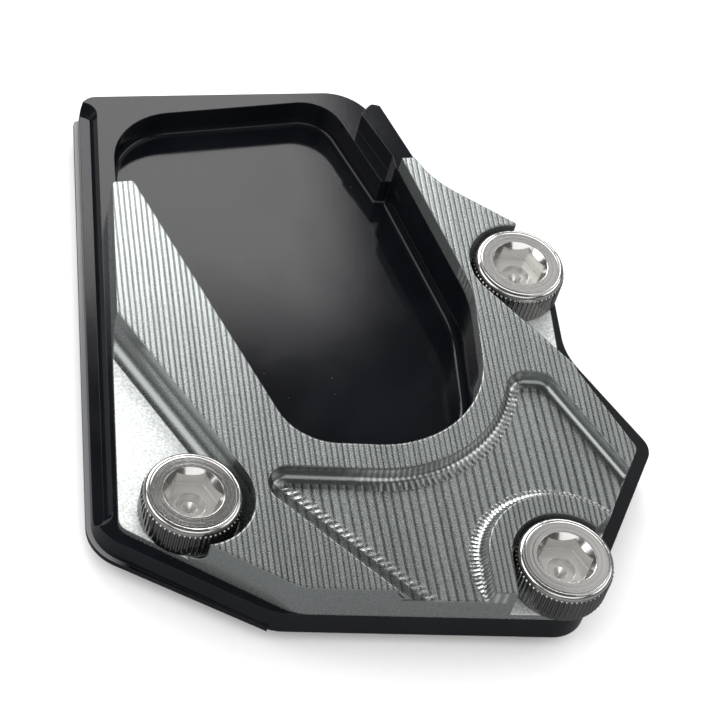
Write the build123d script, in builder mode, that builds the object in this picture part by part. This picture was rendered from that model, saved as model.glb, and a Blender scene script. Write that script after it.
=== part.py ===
import os

from build123d import *

os.makedirs("parts", exist_ok=True)

# Heights, all in millimetres above the underside of the base plate
base_top = 5.0
pocket_floor = 1.5
rib_height = 2.5
clamp_thickness = 4.6
seat_thickness = 0.8
recess_depth = 1.7
rib_top = base_top + rib_height
clamp_top = base_top + clamp_thickness
seat_level = base_top + seat_thickness
recess_floor = clamp_top - recess_depth

# Low cap screw, nominal size M6, with a hexagon socket and a pilot recess below it
screw_size = 6.0
head_diameter = 10.0
head_height = 4.0
head_round = 0.5
socket_across_flats = 5.0
socket_depth = 2.2
socket_mouth = 6.2
pilot_diameter = 3.0
pilot_depth = 0.5
shank_length = 5.0
shank_chamfer = 0.6

# Clearances between the pieces
thread_clearance = 0.05
hole_clearance = 0.3
head_clearance = 0.3
rib_clearance = 0.1

# Screw positions
left_screw = (-20.4, -25.3)
right_screw = (17.1, -31.9)
top_screw = (18.1, 7.2)
screws = {"screw_left": left_screw, "screw_right": right_screw, "screw_top": top_screw}

# Edge treatment
undercut = 1.8
pocket_fillet = 0.8

# Step and lip along the left side of the base plate
step_drop = 1.2
step_taper = 30.0
step_outline = [
    ((-32.0, 31.4), 0.0),
    ((-32.0, -25.6), 0.0),
    ((-28.5, -25.6), 1.0),
    ((-27.5, 31.4), 1.0),
]
lip_height = 0.6
lip_outline = [
    ((-29.1, 31.6), 0.4),
    ((-30.2, -27.5), 4.8),
    ((-12.6, -36.3), 0.0),
    ((-14.0, -33.0), 0.0),
    ((-26.0, -25.0), 0.0),
    ((-26.0, 31.6), 0.0),
]

# Pocket for the stand foot; its right wall is the right wall of the throat
pocket_back_left = (-25.2, 30.0)
pocket_back_right = (0.1, 35.0)
pocket_back_left_radius = 8.0
pocket_back_right_radius = 4.5
pocket_jog_left = (5.2, 22.7)
pocket_jog_right = (6.4, 22.7)
pocket_left_bend = (-25.2, 16.4)
pocket_left_bend_radius = 4.0

# Raised rib: a nose beside the pocket, a pad and a strip under the right arm
rib_outline = [
    ((3.2, 30.8), 0.6),
    ((6.2, 24.4), 0.0),
    ((6.4, 22.2), 0.0),
    ((10.0, 3.3), 0.0),
    ((9.5, -7.0), 0.0),
    ((12.8, -7.0), 0.0),
    ((13.0, 3.5), 0.0),
    ((9.8, 14.0), 0.0),
    ((24.0, 14.0), 0.0),
    ((16.0, 30.0), 0.0),
    ((4.6, 32.4), 0.6),
]

# Base plate outline, clockwise from the back left corner, each corner with its radius
base_outline = [
    ((-28.6, 32.9), 2.0),
    ((3.9, 36.6), 5.5),
    ((10.6, 19.2), 15.0),
    ((23.1, 10.2), 5.0),
    ((23.1, -1.5), 8.0),
    ((30.8, -14.1), 2.5),
    ((19.4, -36.3), 4.0),
    ((-12.3, -36.3), 6.0),
    ((-29.7, -27.2), 4.5),
]

# Throat of the clamp, open towards the back
throat_left_end = (-26.4, 21.6)
throat_front_left = (-9.2, -18.4)
throat_front_right = (11.6, -18.4)
throat_right_bend = (12.3, 3.3)
throat_right_end = (5.1, 27.0)
throat_left_radius = 6.5
throat_right_radius = 12.8
throat_bend_radius = 15.0
foot_overlap = 1.0

# Clamp outline, closed across the two arm ends by one slanted line
clamp_outline = [
    ((-26.4, 15.9), 0.4),
    ((-27.4, -26.9), 1.6),
    ((-10.5, -36.3), 5.0),
    ((18.0, -36.3), 3.0),
    ((27.2, -17.6), 1.2),
    ((21.9, -6.7), 6.0),
    ((22.2, 10.8), 4.5),
    ((9.8, 19.0), 11.0),
    ((8.0, 22.4), 0.4),
]

# Lowered seats, each a circle round its screw opened towards the outside
left_wall_radius = 6.3
left_wall_angle = 30.9
left_end_angle = 240.9
left_wall_fillet = 2.2
top_wall_radius = 5.7
top_wall_angle = 219.5
top_end_angle = 446.0
right_wall_radius = 5.6
right_wall_angle = 180.0
right_end_angle = 405.0

# Decorative recess in the top of the clamp
recess_wall = 3.1
recess_arc_sweep = 81.7
recess_corners = [
    (19.0, -7.9),
    (30.0, -27.3),
    (24.0, -45.0),
    (8.4, -45.0),
    (-16.1, -21.5),
]
recess_tip_radius = 2.3
boss_radius = 8.0
ball_nose_radius = 1.3


def outline(corners):
    """Closed sketch through the corners, each rounded by its own radius."""
    with BuildSketch() as shape:
        with BuildLine():
            Polyline(*[point for point, radius in corners], close=True)
        make_face()
        for point, radius in corners:
            if radius > 0:
                fillet(shape.vertices().sort_by_distance((*point, 0))[0], radius)
    return shape.sketch


def opened_seat(screw, radius, wall_angle, end_angle):
    """Circle round a screw, opened from the tangent at wall_angle round to end_angle."""
    reach = 60.0
    middle_angle = (wall_angle + 90 + end_angle) / 2
    axis = Vector(*screw)
    tangent = axis + Vector(radius, 0).rotate(Axis.Z, wall_angle)
    wall_end = tangent + Vector(reach, 0).rotate(Axis.Z, wall_angle + 90)
    middle = axis + Vector(reach, 0).rotate(Axis.Z, middle_angle)
    end = axis + Vector(reach, 0).rotate(Axis.Z, end_angle)
    with BuildSketch() as shape:
        with Locations(screw):
            Circle(radius)
        with BuildLine():
            Polyline(axis, tangent, wall_end, middle, end, close=True)
        make_face()
    return shape.sketch


throat_outline = [
    (throat_left_end, 0.0),
    (throat_front_left, throat_left_radius),
    (throat_front_right, throat_right_radius),
    (throat_right_bend, throat_bend_radius),
    (throat_right_end, 0.0),
]
pocket_front = throat_front_left[1] - foot_overlap
pocket_outline = [
    (pocket_back_left, pocket_back_left_radius),
    (pocket_back_right, pocket_back_right_radius),
    (pocket_jog_left, 0.0),
    (pocket_jog_right, 0.0),
    (throat_right_bend, throat_bend_radius),
    ((throat_front_right[0], pocket_front), throat_right_radius + foot_overlap),
    ((throat_front_left[0] - foot_overlap / 2, pocket_front), throat_left_radius + foot_overlap),
    (pocket_left_bend, pocket_left_bend_radius),
]

# Sketches that the pieces share
base_shape = outline(base_outline)
lip_shape = outline(lip_outline)
step_shape = outline(step_outline)
rib_shape = outline(rib_outline)
pocket_shape = outline(pocket_outline)
clamp_shape = outline(clamp_outline)
throat_shape = outline(throat_outline)
left_seat = opened_seat(left_screw, left_wall_radius, left_wall_angle, left_end_angle)
top_seat = opened_seat(top_screw, top_wall_radius, top_wall_angle, top_end_angle)
right_seat = opened_seat(right_screw, right_wall_radius, right_wall_angle, right_end_angle)

# Base plate
with BuildPart() as base_plate:
    with BuildSketch(Plane.XY):
        add(base_shape)
    extrude(amount=base_top)
    chamfer(base_plate.faces().sort_by(Axis.Z)[0].outer_wire().edges(), undercut)
    with BuildSketch(Plane.XY.offset(base_top)):
        add(rib_shape)
        add(base_shape, mode=Mode.INTERSECT)
    extrude(amount=rib_height)
    with BuildSketch(Plane.XY.offset(undercut)):
        add(lip_shape)
    extrude(amount=lip_height)
    with BuildSketch(Plane.XY.offset(base_top - step_drop)):
        add(step_shape)
    extrude(amount=step_drop, taper=-step_taper, mode=Mode.SUBTRACT)
    with BuildSketch(Plane.XY.offset(pocket_floor)):
        add(pocket_shape)
    extrude(amount=rib_top, mode=Mode.SUBTRACT)
    floor_edges = base_plate.edges().filter_by_position(Axis.Z, pocket_floor, pocket_floor)
    fillet(floor_edges, pocket_fillet)
    with BuildSketch(Plane.XY):
        with Locations(*screws.values()):
            Circle(screw_size / 2 + thread_clearance)
    extrude(amount=base_top, mode=Mode.SUBTRACT)
base_plate.part.label = "base_plate"

# Clamp plate
recess_arc_radius = throat_right_radius + recess_wall
recess_arc_centre = (
    throat_front_right[0] - throat_right_radius,
    throat_front_right[1] + throat_right_radius,
)
with BuildSketch() as recess:
    with BuildLine():
        arc = CenterArc(recess_arc_centre, recess_arc_radius, -90, recess_arc_sweep)
        corners = Polyline(arc @ 1, *recess_corners, arc @ 0)
    make_face()
    for point in (recess_corners[0], recess_corners[-1], arc @ 1):
        fillet(recess.vertices().sort_by_distance(point)[0], recess_tip_radius)
    with Locations(right_screw):
        Circle(boss_radius, mode=Mode.SUBTRACT)
        Rectangle(2 * boss_radius, 30, align=(Align.CENTER, Align.MAX), mode=Mode.SUBTRACT)

# Form left by a ball nose cutter: a lowered seat whose wall runs into its floor in a fillet
with BuildPart() as left_cutter:
    with BuildSketch(Plane.XY.offset(seat_level)):
        add(left_seat)
    extrude(amount=clamp_thickness)
    fillet(left_cutter.edges().group_by(Axis.Z)[0], left_wall_fillet)

with BuildPart() as clamp_plate:
    with BuildSketch(Plane.XY.offset(base_top)):
        add(clamp_shape)
        add(throat_shape, mode=Mode.SUBTRACT)
    extrude(amount=clamp_thickness)
    with BuildSketch(Plane.XY.offset(recess_floor)):
        add(recess.sketch)
    extrude(amount=recess_depth, mode=Mode.SUBTRACT)
    foot_edges = clamp_plate.edges().filter_by_position(Axis.Z, recess_floor, recess_floor)
    fillet(foot_edges.filter_by(lambda edge: edge.is_interior), ball_nose_radius)
    add(left_cutter.part, mode=Mode.SUBTRACT)
    with BuildSketch(Plane.XY.offset(seat_level)):
        add(top_seat)
        add(right_seat)
        with Locations(left_screw):
            Circle(head_diameter / 2 + head_clearance)
    extrude(amount=clamp_thickness, mode=Mode.SUBTRACT)
    with BuildSketch(Plane.XY.offset(base_top)):
        add(rib_shape)
        offset(amount=rib_clearance)
    extrude(amount=rib_height, mode=Mode.SUBTRACT)
    with BuildSketch(Plane.XY.offset(base_top)):
        with Locations(*screws.values()):
            Circle(screw_size / 2 + hole_clearance)
    extrude(amount=clamp_thickness, mode=Mode.SUBTRACT)
clamp_plate.part.label = "clamp_plate"

# Screws, all three alike
pieces = [base_plate.part, clamp_plate.part]
head_top = seat_level + head_height
socket_floor = head_top - socket_depth
for name, position in screws.items():
    with BuildPart() as screw:
        with BuildSketch(Plane.XY.offset(seat_level)):
            with Locations(position):
                Circle(head_diameter / 2)
        extrude(amount=head_height)
        fillet(screw.edges().group_by(Axis.Z)[-1], head_round)
        with BuildSketch(Plane.XY.offset(seat_level)):
            with Locations(position):
                Circle(screw_size / 2)
        extrude(amount=-shank_length)
        chamfer(screw.edges().group_by(Axis.Z)[0], shank_chamfer)
        with BuildSketch(Plane.XY.offset(socket_floor)):
            with Locations(position):
                RegularPolygon(socket_across_flats / 2, 6, major_radius=False)
        extrude(amount=socket_depth, mode=Mode.SUBTRACT)
        with Locations((*position, head_top)):
            CounterSinkHole(pilot_diameter / 2, socket_mouth / 2, socket_depth + pilot_depth)
    screw.part.label = name
    pieces.append(screw.part)

# The origin is the middle of the overall size, on the underside
middle = Compound(pieces).bounding_box().center()
for piece in pieces:
    label = piece.label
    moved = piece.moved(Location((-middle.X, -middle.Y, 0)))
    moved.label = label
    export_step(moved, f"parts/{label}.step")
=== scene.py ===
# %% [markdown]
# The object is a wide foot plate for the side stand of a motorcycle. A black base plate has a pocket for
# the stand's foot, and a forked grey clamp plate is screwed down over it with three low-head screws.
# The CAD model gives the shapes. This lesson gives them their finishes, the ribs on the screw heads, and
# a small studio to be seen in.

# %% Load the frame
import math

import bpy
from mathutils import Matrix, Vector


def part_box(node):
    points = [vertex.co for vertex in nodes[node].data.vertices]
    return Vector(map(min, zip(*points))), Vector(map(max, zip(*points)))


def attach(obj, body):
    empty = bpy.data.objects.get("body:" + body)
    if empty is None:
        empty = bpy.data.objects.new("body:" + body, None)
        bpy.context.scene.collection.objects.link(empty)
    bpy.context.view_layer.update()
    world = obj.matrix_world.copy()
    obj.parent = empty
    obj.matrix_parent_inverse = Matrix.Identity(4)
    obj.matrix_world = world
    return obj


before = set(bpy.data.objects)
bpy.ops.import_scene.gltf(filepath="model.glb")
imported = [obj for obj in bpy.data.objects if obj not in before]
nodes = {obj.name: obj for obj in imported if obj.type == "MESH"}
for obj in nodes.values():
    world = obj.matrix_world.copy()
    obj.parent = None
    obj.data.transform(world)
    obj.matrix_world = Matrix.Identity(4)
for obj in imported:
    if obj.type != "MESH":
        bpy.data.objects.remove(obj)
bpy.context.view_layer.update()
print("CAD nodes:", sorted(nodes))

# %% [markdown]
# Every size below is in metres, as in the frame, so a millimetre gets a name of its own. Heights that a
# finish depends on are read from the boxes of the CAD nodes, so that they follow the model.

# %% Measure the plates
mm = 0.001
clamp_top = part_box("clamp_plate")[1].z
clamp_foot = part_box("clamp_plate")[0].z
head_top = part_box("screw_left")[1].z
seat_level = clamp_foot + 0.8 * mm
recess_floor = clamp_top - 1.7 * mm
lip_top = 2.4 * mm


def axis_of(node):
    """The point on the floor under a screw: the middle of its box."""
    low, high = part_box(node)
    return Vector(((low.x + high.x) / 2, (low.y + high.y) / 2, 0))


print(f"clamp top {clamp_top / mm:.2f}, recess floor {recess_floor / mm:.2f}, seats {seat_level / mm:.2f} mm")

# %% [markdown]
# Shader nodes are easier to read when one short line makes each of them. These helpers add a node, set
# its sockets to numbers or join them to other nodes, and do sums on single values. A mask is a value
# from 0 to 1 that says how much of an effect a point gets.

# %% Helpers for single nodes
def add(tree, kind, sockets=None, **settings):
    """Adds one shader node. A socket is given a number or colour, or is joined to another node's output."""
    new = tree.nodes.new(kind)
    for name, value in settings.items():
        setattr(new, name, value)
    for name, value in (sockets or {}).items():
        if isinstance(value, bpy.types.NodeSocket):
            tree.links.new(value, new.inputs[name])
        else:
            new.inputs[name].default_value = value
    return new


def sums(tree, operation, first, second=0.0, third=0.0):
    """The result of one sum on single values."""
    return add(tree, "ShaderNodeMath", {0: first, 1: second, 2: third}, operation=operation).outputs[0]


def times(tree, *values):
    """The product of two or more values."""
    product = values[0]
    for value in values[1:]:
        product = sums(tree, "MULTIPLY", product, value)
    return product


def spread(tree, value, low, high, to_low=0.0, to_high=1.0):
    """Value moved from the range low to high into the range to_low to to_high, and held inside it."""
    sockets = {"Value": value, "From Min": low, "From Max": high, "To Min": to_low, "To Max": to_high}
    return add(tree, "ShaderNodeMapRange", sockets, interpolation_type="SMOOTHSTEP").outputs["Result"]


def fall(tree, value, low, high):
    """A mask that is 1 below low and 0 above high."""
    return spread(tree, value, low, high, 1.0, 0.0)


def window(tree, value, outer_low, inner_low, inner_high, outer_high):
    """A mask that is 1 between the inner values and fades to 0 at the outer ones."""
    return times(tree, spread(tree, value, outer_low, inner_low), fall(tree, value, inner_high, outer_high))


def blend(tree, factor, first, second):
    """A colour between first and second."""
    sockets = {"Factor": factor, 6: first, 7: second}
    return add(tree, "ShaderNodeMix", sockets, data_type="RGBA").outputs[2]


def noise(tree, place, scale, detail=2.0, distortion=0.0):
    """A noise from 0 to 1 over the place."""
    sockets = {"Vector": place, "Scale": scale, "Detail": detail, "Distortion": distortion}
    return add(tree, "ShaderNodeTexNoise", sockets).outputs[0]


def bump(tree, height, normal, strength, distance):
    """The normal that a height gives on top of another normal."""
    sockets = {"Height": height, "Normal": normal, "Strength": strength, "Distance": distance}
    return add(tree, "ShaderNodeBump", sockets).outputs[0]


print("helpers for single nodes ready")

# %% [markdown]
# A finish often depends on where a point is and on which way its surface faces. Object coordinates belong
# to the piece itself, so a pattern on them stays put. They are read in millimetres, and so are the lengths
# of every pattern below. Only the Bevel and Bump nodes measure in metres, as the scene does.

# %% Helpers for places
def place_in_mm(tree):
    """The shaded point in millimetres, in the object's own coordinates."""
    point = add(tree, "ShaderNodeTexCoord").outputs["Object"]
    return add(tree, "ShaderNodeVectorMath", {0: point, "Scale": 1 / mm}, operation="SCALE").outputs[0]


def parts_of(tree, vector):
    """The three parts of a vector, by the names X, Y and Z."""
    return add(tree, "ShaderNodeSeparateXYZ", {0: vector}).outputs


def rise_of(tree):
    """The upward part of the normal: 1 on a level surface and 0 on an upright one."""
    return parts_of(tree, add(tree, "ShaderNodeNewGeometry").outputs["Normal"])["Z"]


def level_of(tree, rise):
    """A mask of the level surfaces."""
    return spread(tree, rise, 0.9, 0.99)


def distance_along(tree, place, direction):
    """How far the place lies in a direction."""
    product = add(tree, "ShaderNodeVectorMath", {0: place, 1: direction}, operation="DOT_PRODUCT")
    return product.outputs["Value"]


def round_axis(tree, place, centre):
    """The place as seen from an upright axis: the vector from it, that vector's parts, and the radius."""
    away = add(tree, "ShaderNodeVectorMath", {0: place, 1: centre / mm}, operation="SUBTRACT").outputs[0]
    parts = parts_of(tree, away)
    flat = add(tree, "ShaderNodeCombineXYZ", {"X": parts["X"], "Y": parts["Y"]}).outputs[0]
    radius = add(tree, "ShaderNodeVectorMath", {0: flat}, operation="LENGTH").outputs["Value"]
    return away, parts, radius


print("helpers for places ready")

# %% [markdown]
# An effect that several materials share is built once, as a node group with named sockets, and each
# material uses it with values of its own. These helpers make an empty group, use a group, and make a
# material.

# %% Helpers for groups and materials
def group(name, inputs, outputs):
    """An empty node group with named inputs and outputs, and its two end nodes."""
    tree = bpy.data.node_groups.new(name, "ShaderNodeTree")
    for label, kind in inputs.items():
        tree.interface.new_socket(label, in_out="INPUT", socket_type="NodeSocket" + kind)
    for label, kind in outputs.items():
        tree.interface.new_socket(label, in_out="OUTPUT", socket_type="NodeSocket" + kind)
    return tree, add(tree, "NodeGroupInput").outputs, add(tree, "NodeGroupOutput").inputs


def use(tree, made_group, **sockets):
    """The outputs of one use of a node group in a material."""
    return add(tree, "ShaderNodeGroup", sockets, node_tree=made_group).outputs


def material(name):
    """A new material with its node tree and its Principled shader."""
    made = bpy.data.materials.new(name)
    made.use_nodes = True
    return made, made.node_tree, made.node_tree.nodes["Principled BSDF"].inputs


print("helpers for groups and materials ready")

# %% [markdown]
# A flat cutter that is moved to and fro leaves straight, parallel lines. Each pass is a shallow step, and
# no two passes are alike. A wave texture would be too regular, so the group counts the passes across the
# surface, darkens the groove between two of them, gives each a tone by chance from its number, and adds
# streaks drawn out along the cut.

# %% Cutter lines
groove_start = 0.18
groove_end = 0.46
streak_stretch = (5.0, 0.55, 1.0)
streak_height = 0.35
crest_share = 0.8
chance_share = 0.2
streak_share = 0.3
tone_start = -0.12


def make_cutter_lines():
    kinds = {"Place": "Vector", "Slant": "Float", "Pitch": "Float", "Drift": "Float"}
    tree, given, out = group("cutter_lines", kinds, {"Height": "Float", "Tone": "Float"})
    sockets = {"Vector": given["Place"], "Angle": given["Slant"]}
    turned = add(tree, "ShaderNodeVectorRotate", sockets, rotation_type="Z_AXIS").outputs[0]
    wander = noise(tree, turned, 0.12, detail=1.0)
    across = sums(tree, "MULTIPLY_ADD", wander, given["Drift"], parts_of(tree, turned)["X"])
    passes = sums(tree, "DIVIDE", across, given["Pitch"])
    from_middle = sums(tree, "ABSOLUTE", sums(tree, "SUBTRACT", sums(tree, "FRACT", passes), 0.5))
    crest = fall(tree, from_middle, groove_start, groove_end)
    number = sums(tree, "FLOOR", passes)
    chance = add(tree, "ShaderNodeTexWhiteNoise", {"W": number}, noise_dimensions="1D").outputs["Value"]
    sockets = {0: turned, 1: streak_stretch}
    drawn = add(tree, "ShaderNodeVectorMath", sockets, operation="MULTIPLY").outputs[0]
    streak = noise(tree, drawn, 1.0, detail=3.0)
    tree.links.new(sums(tree, "MULTIPLY_ADD", streak, streak_height, crest), out["Height"])
    tone = sums(tree, "MULTIPLY_ADD", crest, crest_share, tone_start)
    tone = sums(tree, "MULTIPLY_ADD", chance, chance_share, tone)
    tree.links.new(sums(tree, "MULTIPLY_ADD", streak, streak_share, tone), out["Tone"])
    return tree


cutter_lines = make_cutter_lines()
print("group:", cutter_lines.name)

# %% [markdown]
# Anodised and blasted aluminium has a fine grain that catches the light in points. Two noises of
# different sizes give the grain its height and its speckle.

# %% Metal grain
def make_metal_grain():
    kinds = {"Place": "Vector", "Size": "Float"}
    tree, given, out = group("metal_grain", kinds, {"Height": "Float", "Speckle": "Float"})
    scale = sums(tree, "DIVIDE", 1.0, given["Size"])
    fine = noise(tree, given["Place"], scale)
    coarse = noise(tree, given["Place"], times(tree, scale, 0.3))
    tree.links.new(sums(tree, "MULTIPLY_ADD", coarse, 0.5, fine), out["Height"])
    tree.links.new(spread(tree, fine, 0.3, 0.7), out["Speckle"])
    return tree


metal_grain = make_metal_grain()
print("group:", metal_grain.name)

# %% [markdown]
# Edges of a machined part are broken with a light chamfer, and there the finish is thin and handled most.
# The Bevel node rounds the normal near an edge, and where the rounded normal parts from the true one,
# there is an edge.

# %% Edge wear
def make_edge_wear():
    kinds = {"Place": "Vector", "Reach": "Float", "Patchiness": "Float"}
    tree, given, out = group("edge_wear", kinds, {"Mask": "Float", "Normal": "Vector"})
    rounded = add(tree, "ShaderNodeBevel", {"Radius": given["Reach"]}, samples=6).outputs[0]
    true_normal = add(tree, "ShaderNodeNewGeometry").outputs["Normal"]
    edge = fall(tree, distance_along(tree, rounded, true_normal), 0.8, 0.995)
    patches = spread(tree, noise(tree, given["Place"], 1.3, detail=4.0), 0.35, 0.65)
    kept = sums(tree, "SUBTRACT", 1.0, given["Patchiness"])
    share = sums(tree, "MULTIPLY_ADD", patches, given["Patchiness"], kept)
    tree.links.new(times(tree, edge, share), out["Mask"])
    tree.links.new(rounded, out["Normal"])
    return tree


edge_wear = make_edge_wear()
print("group:", edge_wear.name)

# %% [markdown]
# A part that has been handled carries a little dust and a few faint smears. Small spots come from a
# Voronoi texture of which only a few cells are kept.

# %% Dust and smears
def make_handling():
    tree, given, out = group("handling", {"Place": "Vector"}, {"Dust": "Float", "Smear": "Float"})
    cells = add(tree, "ShaderNodeTexVoronoi", {"Vector": given["Place"], "Scale": 0.8}).outputs
    spot = fall(tree, cells["Distance"], 0.03, 0.07)
    chance = add(tree, "ShaderNodeSeparateColor", {0: cells["Color"]}).outputs["Red"]
    tree.links.new(times(tree, spot, spread(tree, chance, 0.82, 0.86)), out["Dust"])
    smear = noise(tree, given["Place"], 0.11, detail=3.0, distortion=0.6)
    tree.links.new(spread(tree, smear, 0.35, 0.7), out["Smear"])
    return tree


handling = make_handling()
print("group:", handling.name)

# %% [markdown]
# The base plate is black anodised aluminium. The dyed layer is a smooth dark skin over metal, so the
# shader is a dark colour with a clear gloss, and what shows is mostly the reflected studio. A hair of
# grain keeps the reflections soft, and the edges are a little lighter than the flats, partly from wear and
# partly as a painted highlight. The strip on top of the lip along the left side is lighter still: its colour
# is a painted reflection of the grey studio.

# %% Black anodised finish
dye_colour = (0.004, 0.0045, 0.006, 1)
dye_smeared = (0.0055, 0.006, 0.008, 1)
# Lighter edge colour: partly wear, partly a painted highlight.
dye_worn_and_highlight = (0.06, 0.06, 0.065, 1)
dust_colour = (0.3, 0.3, 0.3, 1)
# Painted reflection: the light colour of the strip on top of the lip.
lip_reflection_colour = (0.2, 0.2, 0.207, 1)
lip_right = -28.5
lip_fade = 2.5
skin_rough = (0.08, 0.11)
skin_worn_rough = 0.12
skin_ior = 1.33


def lip_reflection_mask(tree, place):
    """The strip on top of the lip, which gets a painted reflection."""
    spot = parts_of(tree, place)
    top = lip_top / mm
    at_top = window(tree, spot["Z"], top - 0.5, top - 0.3, top, top + 0.05)
    at_left = fall(tree, spot["X"], lip_right, lip_right + lip_fade)
    return times(tree, at_top, at_left, spread(tree, rise_of(tree), 0.3, 0.6))


def make_black_anodised():
    made, tree, shader = material("black_anodised")
    place = place_in_mm(tree)
    grain = use(tree, metal_grain, Place=place, Size=0.12)
    wear = use(tree, edge_wear, Place=place, Reach=0.12 * mm, Patchiness=0.5)
    touch = use(tree, handling, Place=place)
    dye = blend(tree, touch["Smear"], dye_colour, dye_smeared)
    # Edges are painted lighter, partly as wear and partly as a painted highlight.
    dye = blend(tree, times(tree, wear["Mask"], 0.5), dye, dye_worn_and_highlight)
    dye = blend(tree, times(tree, touch["Dust"], 0.25), dye, dust_colour)
    # The strip on top of the lip is painted lighter, as a painted reflection of the grey studio.
    tree.links.new(blend(tree, lip_reflection_mask(tree, place), dye, lip_reflection_colour), shader["Base Color"])
    rough = spread(tree, touch["Smear"], 0.0, 1.0, *skin_rough)
    tree.links.new(sums(tree, "MULTIPLY_ADD", wear["Mask"], skin_worn_rough, rough), shader["Roughness"])
    grained = bump(tree, grain["Height"], wear["Normal"], strength=0.12, distance=0.02 * mm)
    tree.links.new(grained, shader["Normal"])
    shader["Metallic"].default_value = 0.0
    shader["IOR"].default_value = skin_ior
    return made


black_anodised = make_black_anodised()
print("material:", black_anodised.name)

# %% [markdown]
# The clamp plate is grey anodised aluminium, and each of its faces shows how it was cut. A round-nosed
# cutter went round the recess and left scallops on its walls and fillets. Two of these walls are arcs:
# one follows the throat of the fork, and one goes round the boss of the right screw. Their marks are
# counted by the angle round the arc's centre.

# %% Scallops along an arc
boss_radius = 8.0 * mm
throat_arc_centre = Vector((-1.35, -5.23, 0)) * mm
throat_arc_radius = 15.9 * mm
throat_arc_pitch = 0.62 * mm
boss_pitch = 0.45 * mm
fillet_width = 1.5 * mm


def scallops_round(tree, place, centre, radius, pitch):
    """Marks round a centre, and a mask of the ring in which the round-nosed cutter ran."""
    parts, distance = round_axis(tree, place, centre)[1:]
    turn = sums(tree, "ARCTAN2", parts["Y"], parts["X"])
    marks = sums(tree, "PINGPONG", times(tree, turn, radius / pitch), 0.5)
    middle = (radius + fillet_width / 2) / mm
    off = sums(tree, "ABSOLUTE", sums(tree, "SUBTRACT", distance, middle))
    reach = fillet_width / mm / 2
    return marks, fall(tree, off, reach, reach + 0.3)


print("arcs of", round(throat_arc_radius / mm, 1), "and", round(boss_radius / mm, 1), "mm radius")

# %% [markdown]
# The third wall is straight. It lies at the front left and turns away from the camera, so what shows of
# it is a dark run along the edge, given painted shade, and beyond it the slanted bright marks where the
# cutter left the floor, painted as highlights.
# Three marks and three masks are then put together into one of each.

# %% Scallops along all the recess walls
edge_direction = Vector((-0.722, 0.692, 0))
edge_inwards = Vector((0.692, 0.722, 0))
edge_offset = -26.49
edge_pitch = 0.8
edge_lean = 0.5
edge_left = -15.5
throat_arc_left = -6.0


def wall_scallops(tree, place):
    """Marks along the walls of the recess, a mask of where the cutter ran, and one of the dark run that gets
    painted shade.
    """
    side = parts_of(tree, place)["X"]
    arc_marks, on_arc = scallops_round(tree, place, throat_arc_centre, throat_arc_radius, throat_arc_pitch)
    on_arc = times(tree, on_arc, spread(tree, side, throat_arc_left, 0.0))
    boss_marks, on_boss = scallops_round(tree, place, axis_of("screw_right"), boss_radius, boss_pitch)
    inwards = sums(tree, "SUBTRACT", distance_along(tree, place, edge_inwards), edge_offset)
    along = sums(tree, "MULTIPLY_ADD", inwards, edge_lean, distance_along(tree, place, edge_direction))
    marks = sums(tree, "PINGPONG", sums(tree, "DIVIDE", along, edge_pitch), 0.5)
    for other, mask in ((arc_marks, on_arc), (boss_marks, on_boss)):
        marks = sums(tree, "MULTIPLY_ADD", sums(tree, "SUBTRACT", other, marks), mask, marks)
    right_of_seat = spread(tree, side, edge_left, edge_left + 1.5)
    on_edge = times(tree, window(tree, inwards, 2.0, 2.3, 2.6, 3.6), right_of_seat)
    shade = times(tree, window(tree, inwards, 0.2, 0.6, 2.0, 2.3), right_of_seat)
    run = sums(tree, "MAXIMUM", on_edge, sums(tree, "MAXIMUM", on_arc, on_boss))
    depth = spread(tree, noise(tree, place, 1.1), 0.3, 0.7, 1.3, 2.2)
    return times(tree, marks, depth), run, shade


print("straight edge", -edge_offset, "mm from the middle, marks every", edge_pitch, "mm")

# %% [markdown]
# One material covers the whole clamp plate, so it has to know which face a point is on. It tells them by
# the height of the point and by the way that its surface faces. The back wall of the recess is told by
# its place in the plan as well.

# %% Faces of the clamp plate
back_wall = {"Y": (-23.5, -20.5), "X": (-16.5, 4.0)}
back_wall_fade = 0.3


def clamp_masks(tree, place):
    """Masks of the faces of the clamp plate, by name."""
    spot = parts_of(tree, place)
    rise = rise_of(tree)
    level = level_of(tree, rise)
    top = clamp_top / mm
    floor = recess_floor / mm
    masks = {}
    for name, height in (("top", top), ("floor", floor), ("seat", seat_level / mm)):
        away = sums(tree, "ABSOLUTE", sums(tree, "SUBTRACT", spot["Z"], height))
        masks[name] = times(tree, fall(tree, away, 0.03, 0.06), level)
    masks["steep"] = fall(tree, rise, 0.15, 0.9)
    above_floor = spread(tree, spot["Z"], floor - 0.1, floor + 0.02)
    masks["wall"] = times(tree, above_floor, sums(tree, "SUBTRACT", 1.0, level))
    masks["cut_away"] = window(tree, spot["Z"], floor - 0.2, floor - 0.05, top - 0.3, top - 0.1)
    masks["back_wall"] = times(tree, masks["steep"], masks["wall"])
    for side, (low, high) in back_wall.items():
        inside = window(tree, spot[side], low - back_wall_fade, low, high, high + back_wall_fade)
        masks["back_wall"] = times(tree, masks["back_wall"], inside)
    return masks


print("back wall of the recess in the plan:", back_wall)

# %% [markdown]
# The top was faced in straight passes that lean a little, and the floor of the recess has wider, deeper
# lines. The seats under the screws are blasted, which makes them pale and speckled. The colour is put
# together in that order, and over it come painted shade on the recess walls, the marks of the round-nosed
# cutter painted as bright highlights with painted shade between them, the worn edges and the smears.

# %% Colour of the clamp plate
grey_dark = (0.08, 0.09, 0.088, 1)
grey_light = (0.43, 0.455, 0.45, 1)
blasted_dark = (0.6, 0.63, 0.62, 1)
blasted_light = (0.92, 0.95, 0.93, 1)
blast_size = 0.26
plain_tone = 0.45
speckle_share = 0.16
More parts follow.
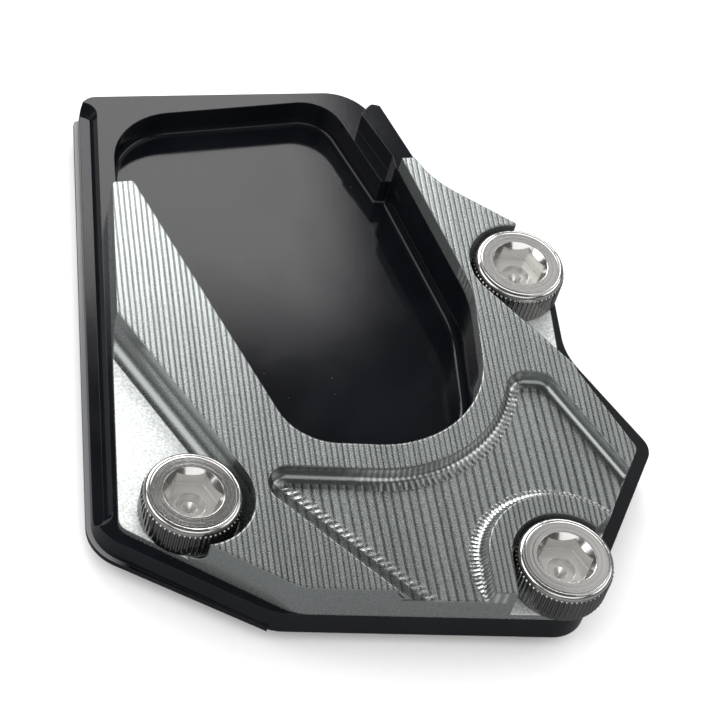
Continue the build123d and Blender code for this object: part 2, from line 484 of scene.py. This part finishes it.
# Painted shade for the dark run along the edge and for the back wall of the recess.
shaded_grey = (0.045, 0.05, 0.05, 1)
run_shade = 0.75
wall_shade = 0.7
mark_highlight_share = 0.8
# Tones of the cutter's marks: painted highlights, with painted shade between them.
mark_painted_shade = (0.26, 0.28, 0.275, 1)
mark_painted_highlight = (0.62, 0.64, 0.63, 1)
grey_worn = (0.6, 0.62, 0.61, 1)
grey_smeared = (0.2, 0.215, 0.21, 1)


def face_colour(tree, place, masks, top_lines, floor_lines, speckle):
    """The grey of the cut faces, and the pale speckle of the blasted seats."""
    tone = times(tree, masks["top"], top_lines["Tone"])
    tone = sums(tree, "MULTIPLY_ADD", masks["floor"], floor_lines["Tone"], tone)
    others = sums(tree, "SUBTRACT", 1.0, sums(tree, "ADD", masks["top"], masks["floor"]))
    tone = sums(tree, "MULTIPLY_ADD", others, plain_tone, tone)
    tone = sums(tree, "MULTIPLY_ADD", sums(tree, "SUBTRACT", speckle, 0.5), speckle_share, tone)
    blast = use(tree, metal_grain, Place=place, Size=blast_size)["Speckle"]
    blasted = blend(tree, blast, blasted_dark, blasted_light)
    return blend(tree, masks["seat"], blend(tree, tone, grey_dark, grey_light), blasted)


def mark_colour(tree, metal, masks, marks, run, shade):
    """The colour with painted shade on the walls of the recess and the cutter's marks painted as highlights.
    """
    # The dark run and the back wall of the recess get painted shade.
    dark_run = times(tree, shade, masks["cut_away"], run_shade)
    dark_wall = times(tree, masks["back_wall"], wall_shade)
    metal = blend(tree, sums(tree, "MAXIMUM", dark_run, dark_wall), metal, shaded_grey)
    # The marks of the round-nosed cutter are painted as bright highlights, with painted shade between them.
    cut = blend(tree, spread(tree, marks, 0.15, 0.85), mark_painted_shade, mark_painted_highlight)
    return blend(tree, times(tree, run, mark_highlight_share), metal, cut)


print("greys from", grey_dark[:3], "to", grey_light[:3])

# %% [markdown]
# The rest of the finish follows the same masks. The seats are duller than the cut faces, the marks are
# smoother, and the lines of the cutter and the grain raise the surface one after the other.

# %% Grey anodised finish
top_pass = {"Slant": math.radians(-1.5), "Pitch": 0.58, "Drift": 0.12}
floor_pass = {"Slant": math.radians(-3.0), "Pitch": 0.92, "Drift": 0.15}
cut_rough = 0.22
seat_roughness_more = 0.18
mark_roughness_more = -0.06
speckle_roughness_more = 0.08
cut_metallic = 0.95
seat_metallic_less = 0.5
steep_metallic_less = 0.25
floor_depth = 1.6
mark_depth = 2.2


def make_grey_anodised():
    made, tree, shader = material("grey_anodised")
    place = place_in_mm(tree)
    masks = clamp_masks(tree, place)
    top_lines = use(tree, cutter_lines, Place=place, **top_pass)
    floor_lines = use(tree, cutter_lines, Place=place, **floor_pass)
    marks, run, shade = wall_scallops(tree, place)
    run = times(tree, run, masks["cut_away"])
    grain = use(tree, metal_grain, Place=place, Size=0.15)
    wear = use(tree, edge_wear, Place=place, Reach=0.28 * mm, Patchiness=0.2)
    touch = use(tree, handling, Place=place)

    metal = face_colour(tree, place, masks, top_lines, floor_lines, grain["Speckle"])
    metal = mark_colour(tree, metal, masks, marks, run, shade)
    metal = blend(tree, times(tree, wear["Mask"], 0.2), metal, grey_worn)
    metal = blend(tree, times(tree, touch["Smear"], 0.12), metal, grey_smeared)
    tree.links.new(metal, shader["Base Color"])

    rough = sums(tree, "MULTIPLY_ADD", masks["seat"], seat_roughness_more, cut_rough)
    smoother = sums(tree, "MAXIMUM", masks["wall"], run)
    rough = sums(tree, "MULTIPLY_ADD", smoother, mark_roughness_more, rough)
    rough = sums(tree, "MULTIPLY_ADD", grain["Speckle"], speckle_roughness_more, rough)
    tree.links.new(rough, shader["Roughness"])
    seat_dull = times(tree, masks["seat"], seat_metallic_less)
    dull = sums(tree, "ADD", seat_dull, times(tree, masks["steep"], steep_metallic_less))
    tree.links.new(sums(tree, "SUBTRACT", cut_metallic, dull), shader["Metallic"])

    cuts = times(tree, masks["top"], top_lines["Height"])
    cuts = sums(tree, "MULTIPLY_ADD", times(tree, masks["floor"], floor_depth), floor_lines["Height"], cuts)
    cuts = sums(tree, "MULTIPLY_ADD", times(tree, run, mark_depth), marks, cuts)
    cut_normal = bump(tree, cuts, wear["Normal"], strength=0.35, distance=0.03 * mm)
    grained = bump(tree, grain["Height"], cut_normal, strength=0.35, distance=0.009 * mm)
    tree.links.new(grained, shader["Normal"])
    return made


grey_anodised = make_grey_anodised()
print("material:", grey_anodised.name)

# %% [markdown]
# The screws are stainless steel. Their heads were turned, so the face carries fine rings round the
# screw's own axis, and a shallow groove, painted darker as shade, sets off the polished rim. The socket
# and the side of the head are masked by radius and height, and so is the thread on the shank, which is
# only a pattern of bumps.

# %% Parts of a screw
screw_names = ("screw_left", "screw_right", "screw_top")
head_radius = 5.0 * mm
groove_radius = 4.42
socket_radius = 3.05
side_radius = 4.7
thread_pitch = 1.0


def screw_masks(tree, height, radius, level):
    """Masks of the groove, the socket, the side of the head and the thread, by name."""
    foot = clamp_foot / mm
    top = head_top / mm
    from_groove = sums(tree, "ABSOLUTE", sums(tree, "SUBTRACT", radius, groove_radius))
    inside = fall(tree, radius, socket_radius, socket_radius + 0.1)
    outside = spread(tree, radius, side_radius, side_radius + 0.2)
    turns = sums(tree, "PINGPONG", height, thread_pitch / 2)
    return {
        "groove": times(tree, fall(tree, from_groove, 0.04, 0.14), level),
        "socket": times(tree, inside, fall(tree, height, foot + 2.0, clamp_top / mm)),
        "side": times(tree, outside, fall(tree, height, top - 0.9, top - 0.5)),
        "thread": times(tree, turns, fall(tree, height, foot, foot + 0.5)),
    }


print("head", 2 * head_radius / mm, "mm across, thread pitch", thread_pitch, "mm")

# %% [markdown]
# The rings need the axis of each screw, so one function makes the material for a screw at a given place.
# The socket gets less metal and more plain colour, because light that falls into it is thrown from wall
# to wall until it comes out soft. The side of the head is painted dark as shade, as it stands in its own gap.

# %% Screw steel
steel_dark = (0.66, 0.65, 0.63, 1)
steel_light = (0.8, 0.79, 0.765, 1)
socket_colour = (0.58, 0.565, 0.54, 1)
# Painted shade for the side of the head, which stands in its own gap.
head_side_shade = (0.1, 0.1, 0.1, 1)
# Painted shade for the groove round the rim.
groove_shade = (0.3, 0.295, 0.285, 1)
steel_smeared = (0.45, 0.44, 0.42, 1)
steel_worn = (0.9, 0.89, 0.87, 1)
steel_rough = 0.11
steel_roughness_more = 0.05
socket_metallic_less = 0.5


def make_screw_steel(name, axis):
    made, tree, shader = material(name)
    place = place_in_mm(tree)
    centred, parts, radius = round_axis(tree, place, axis)
    level = level_of(tree, rise_of(tree))
    masks = screw_masks(tree, parts["Z"], radius, level)
    grain = use(tree, metal_grain, Place=centred, Size=0.14)
    wear = use(tree, edge_wear, Place=centred, Reach=0.12 * mm, Patchiness=0.3)
    touch = use(tree, handling, Place=place)
    sockets = {"W": times(tree, radius, 4.0), "Scale": 1.0, "Detail": 3.0}
    rings = add(tree, "ShaderNodeTexNoise", sockets, noise_dimensions="1D").outputs[0]

    steel = blend(tree, rings, steel_dark, steel_light)
    for mask, share, colour in (
        (masks["socket"], 0.8, socket_colour),
        # The side of the head gets painted shade.
        (masks["side"], 0.85, head_side_shade),
        # The groove gets painted shade.
        (masks["groove"], 0.5, groove_shade),
        (touch["Smear"], 0.15, steel_smeared),
        (wear["Mask"], 0.4, steel_worn),
    ):
        steel = blend(tree, times(tree, mask, share), steel, colour)
    tree.links.new(steel, shader["Base Color"])
    rough = sums(tree, "MULTIPLY_ADD", grain["Speckle"], steel_roughness_more, steel_rough)
    rough = sums(tree, "MULTIPLY_ADD", touch["Smear"], steel_roughness_more, rough)
    tree.links.new(rough, shader["Roughness"])
    metallic = sums(tree, "MULTIPLY_ADD", masks["socket"], -socket_metallic_less, 1.0)
    tree.links.new(metallic, shader["Metallic"])

    turned = times(tree, rings, level, 0.3)
    turned = sums(tree, "MULTIPLY_ADD", masks["groove"], -1.5, turned)
    turned = sums(tree, "MULTIPLY_ADD", masks["thread"], 6.0, turned)
    turned_normal = bump(tree, turned, wear["Normal"], strength=0.3, distance=0.04 * mm)
    grained = bump(tree, grain["Height"], turned_normal, strength=0.08, distance=0.01 * mm)
    tree.links.new(grained, shader["Normal"])
    return made


steels = {name: make_screw_steel(name + "_steel", axis_of(name)) for name in screw_names}
print("materials:", sorted(steel.name for steel in steels.values()))

# %% [markdown]
# The finishes go onto the CAD nodes by their material slots. Their meshes aren't touched.

# %% Dress the CAD nodes
finishes = {"base_plate": black_anodised, "clamp_plate": grey_anodised, **steels}
for name, finish in finishes.items():
    slots = nodes[name].material_slots
    for slot in slots:
        slot.material = finish
    if not slots:
        nodes[name].data.materials.append(finish)
    print(name, "wears", finish.name)

# %% [markdown]
# The side of a cap screw's head is ribbed, so that fingers can turn it. The solids leave the ribs out,
# because they are too fine for the CAD file. A shader could fake them, but their outline shows against
# the dark gap in the clamp, so they are modelled: a short tube, with every second pair of its upright
# edges drawn outwards, and both ends drawn in to a chamfer.

# %% Ribbed bands of the screw heads
rib_count = 60
rib_depth = 0.16 * mm
rib_foot = head_radius - 0.02 * mm
rib_low = seat_level + 0.35 * mm
rib_high = seat_level + 3.2 * mm
rib_chamfer = 0.2 * mm
rib_end_radius = head_radius - 0.08 * mm
rib_tolerance = 0.01 * mm
edges_a_rib = 4


def pick(shape, test):
    """Selects only the vertices that pass the test, and leaves the shape in edit mode."""
    bpy.ops.object.mode_set(mode="EDIT")
    bpy.ops.mesh.select_mode(type="VERT")
    bpy.ops.mesh.select_all(action="DESELECT")
    bpy.ops.object.mode_set(mode="OBJECT")
    for vertex in shape.data.vertices:
        vertex.select = test(vertex.co)
    bpy.ops.object.mode_set(mode="EDIT")


def make_ribs(screw):
    bpy.ops.object.select_all(action="DESELECT")
    axis = axis_of(screw)
    middle = (axis.x, axis.y, (rib_low + rib_high) / 2)
    edges = edges_a_rib * rib_count
    bpy.ops.mesh.primitive_cylinder_add(vertices=edges, radius=rib_foot, depth=rib_high - rib_low,
                                        end_fill_type="NOTHING", location=middle)
    ribs = bpy.context.object
    ribs.name = screw + "_ribs"
    step = math.tau / edges
    half = (rib_high - rib_low) / 2
    pick(ribs, lambda point: round(math.atan2(point.x, point.y) / step) % edges_a_rib in (0, 1))
    wider = (head_radius + rib_depth) / head_radius
    bpy.ops.transform.resize(value=(wider, wider, 1))
    narrower = rib_end_radius / (head_radius + rib_depth)
    for side in (-1, 1):
        pick(ribs, lambda point: side * point.z > half - rib_tolerance)
        bpy.ops.mesh.extrude_region_move(TRANSFORM_OT_translate={"value": (0, 0, side * rib_chamfer)})
        bpy.ops.transform.resize(value=(narrower, narrower, 1))
    bpy.ops.mesh.select_all(action="SELECT")
    bpy.ops.mesh.normals_make_consistent(inside=False)
    bpy.ops.object.mode_set(mode="OBJECT")
    bpy.ops.object.transform_apply(location=True, rotation=True, scale=True)
    bpy.ops.object.shade_smooth_by_angle(angle=math.radians(25))
    ribs.data.materials.append(steels[screw])
    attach(ribs, "root")
    return ribs


for name in screw_names:
    made_ribs = make_ribs(name)
    print(made_ribs.name, "has", len(made_ribs.data.polygons), "faces")

# %% [markdown]
# The studio has a plain pale floor. A dark, glossy part is photographed by what it reflects: white cards
# and soft boxes where a surface should be light, and nothing where it should be dark. So the floor and
# the sky are bright for the eye and for soft light, but dim for sharp reflections, as if black cards
# stood round the part.

# %% Floor and sky
floor_size = 6.0
floor_light = (0.93, 0.93, 0.93, 1)
floor_dark = (0.9, 0.9, 0.9, 1)
floor_mirrored = (0.2, 0.2, 0.205, 1)
sky_light = 0.95
sky_mirrored = 0.1


def make_floor():
    bpy.ops.object.select_all(action="DESELECT")
    bpy.ops.mesh.primitive_plane_add(size=floor_size)
    floor = bpy.context.object
    floor.name = "studio_floor"
    made, tree, shader = material("pale_floor")
    pale = blend(tree, noise(tree, place_in_mm(tree), 0.9), floor_dark, floor_light)
    mirrored = add(tree, "ShaderNodeLightPath").outputs["Is Glossy Ray"]
    tree.links.new(blend(tree, mirrored, pale, floor_mirrored), shader["Base Color"])
    shader["Roughness"].default_value = 0.9
    shader["Specular IOR Level"].default_value = 0.1
    floor.data.materials.append(made)
    return floor


def make_sky():
    sky = bpy.data.worlds.new("studio_sky")
    bpy.context.scene.world = sky
    sky.use_nodes = True
    tree = sky.node_tree
    background = tree.nodes["Background"].inputs
    mirrored = add(tree, "ShaderNodeLightPath").outputs["Is Glossy Ray"]
    strength = sums(tree, "MULTIPLY_ADD", mirrored, sky_mirrored - sky_light, sky_light)
    tree.links.new(strength, background["Strength"])
    background["Color"].default_value = (1, 1, 1, 1)
    return sky


floor = make_floor()
sky = make_sky()
print("stage:", floor.name, sky.name)

# %% [markdown]
# The lamps are soft boxes held level above the part. A level surface shows the camera the part of the
# ceiling that lies beyond it, so the edges of the back box and the front box are placed where the
# reflections in the pocket end. The other boxes light the walls, and the part as seen from other sides.

# %% Soft boxes
ceiling = 500 * mm
soft_boxes = {
    # name: left, right, near and far edge in millimetres, and radiance
    "back_box": (-400, 150, 425, 1000, 5.7),
    "front_box": (190, 520, -150, 470, 0.55),
    "left_box": (-1100, -420, -400, 400, 2.5),
    "fore_box": (-500, 500, -1100, -400, 1.2),
    "far_right_box": (600, 1200, -400, 400, 2.0),
    "right_box": (240, 700, 600, 1200, 4.0),
}


def make_soft_box(name, left, right, near, far, radiance):
    light = bpy.data.lights.new(name, "AREA")
    light.shape = "RECTANGLE"
    light.size = (right - left) * mm
    light.size_y = (far - near) * mm
    light.energy = radiance * math.pi * light.size * light.size_y
    lamp = bpy.data.objects.new(name, light)
    lamp.location = ((left + right) / 2 * mm, (near + far) / 2 * mm, ceiling)
    bpy.context.scene.collection.objects.link(lamp)
    return lamp


lamps = [make_soft_box(name, *box) for name, box in soft_boxes.items()]
print("lamps:", [lamp.name for lamp in lamps])

# %% [markdown]
# The camera stands close in front, to the left and above the part, as a hand-held one does. Its place was
# found from the rings of the screw heads and the lean of the upright edges. The colours are shown as they
# are, without a film curve.

# %% Camera
camera_place = Vector((-64, -179, 220)) * mm
camera_turn = (39.612, -11.604, -6.264)
lens = bpy.data.cameras.new("camera")
lens.sensor_width = 36
lens.lens = 133.22
lens.clip_start = 10 * mm
camera = bpy.data.objects.new("camera", lens)
camera.location = camera_place
camera.rotation_euler = [math.radians(angle) for angle in camera_turn]
bpy.context.scene.collection.objects.link(camera)
bpy.context.scene.camera = camera
bpy.context.scene.view_settings.view_transform = "Standard"
print("camera at", [round(value / mm) for value in camera.location], "mm")
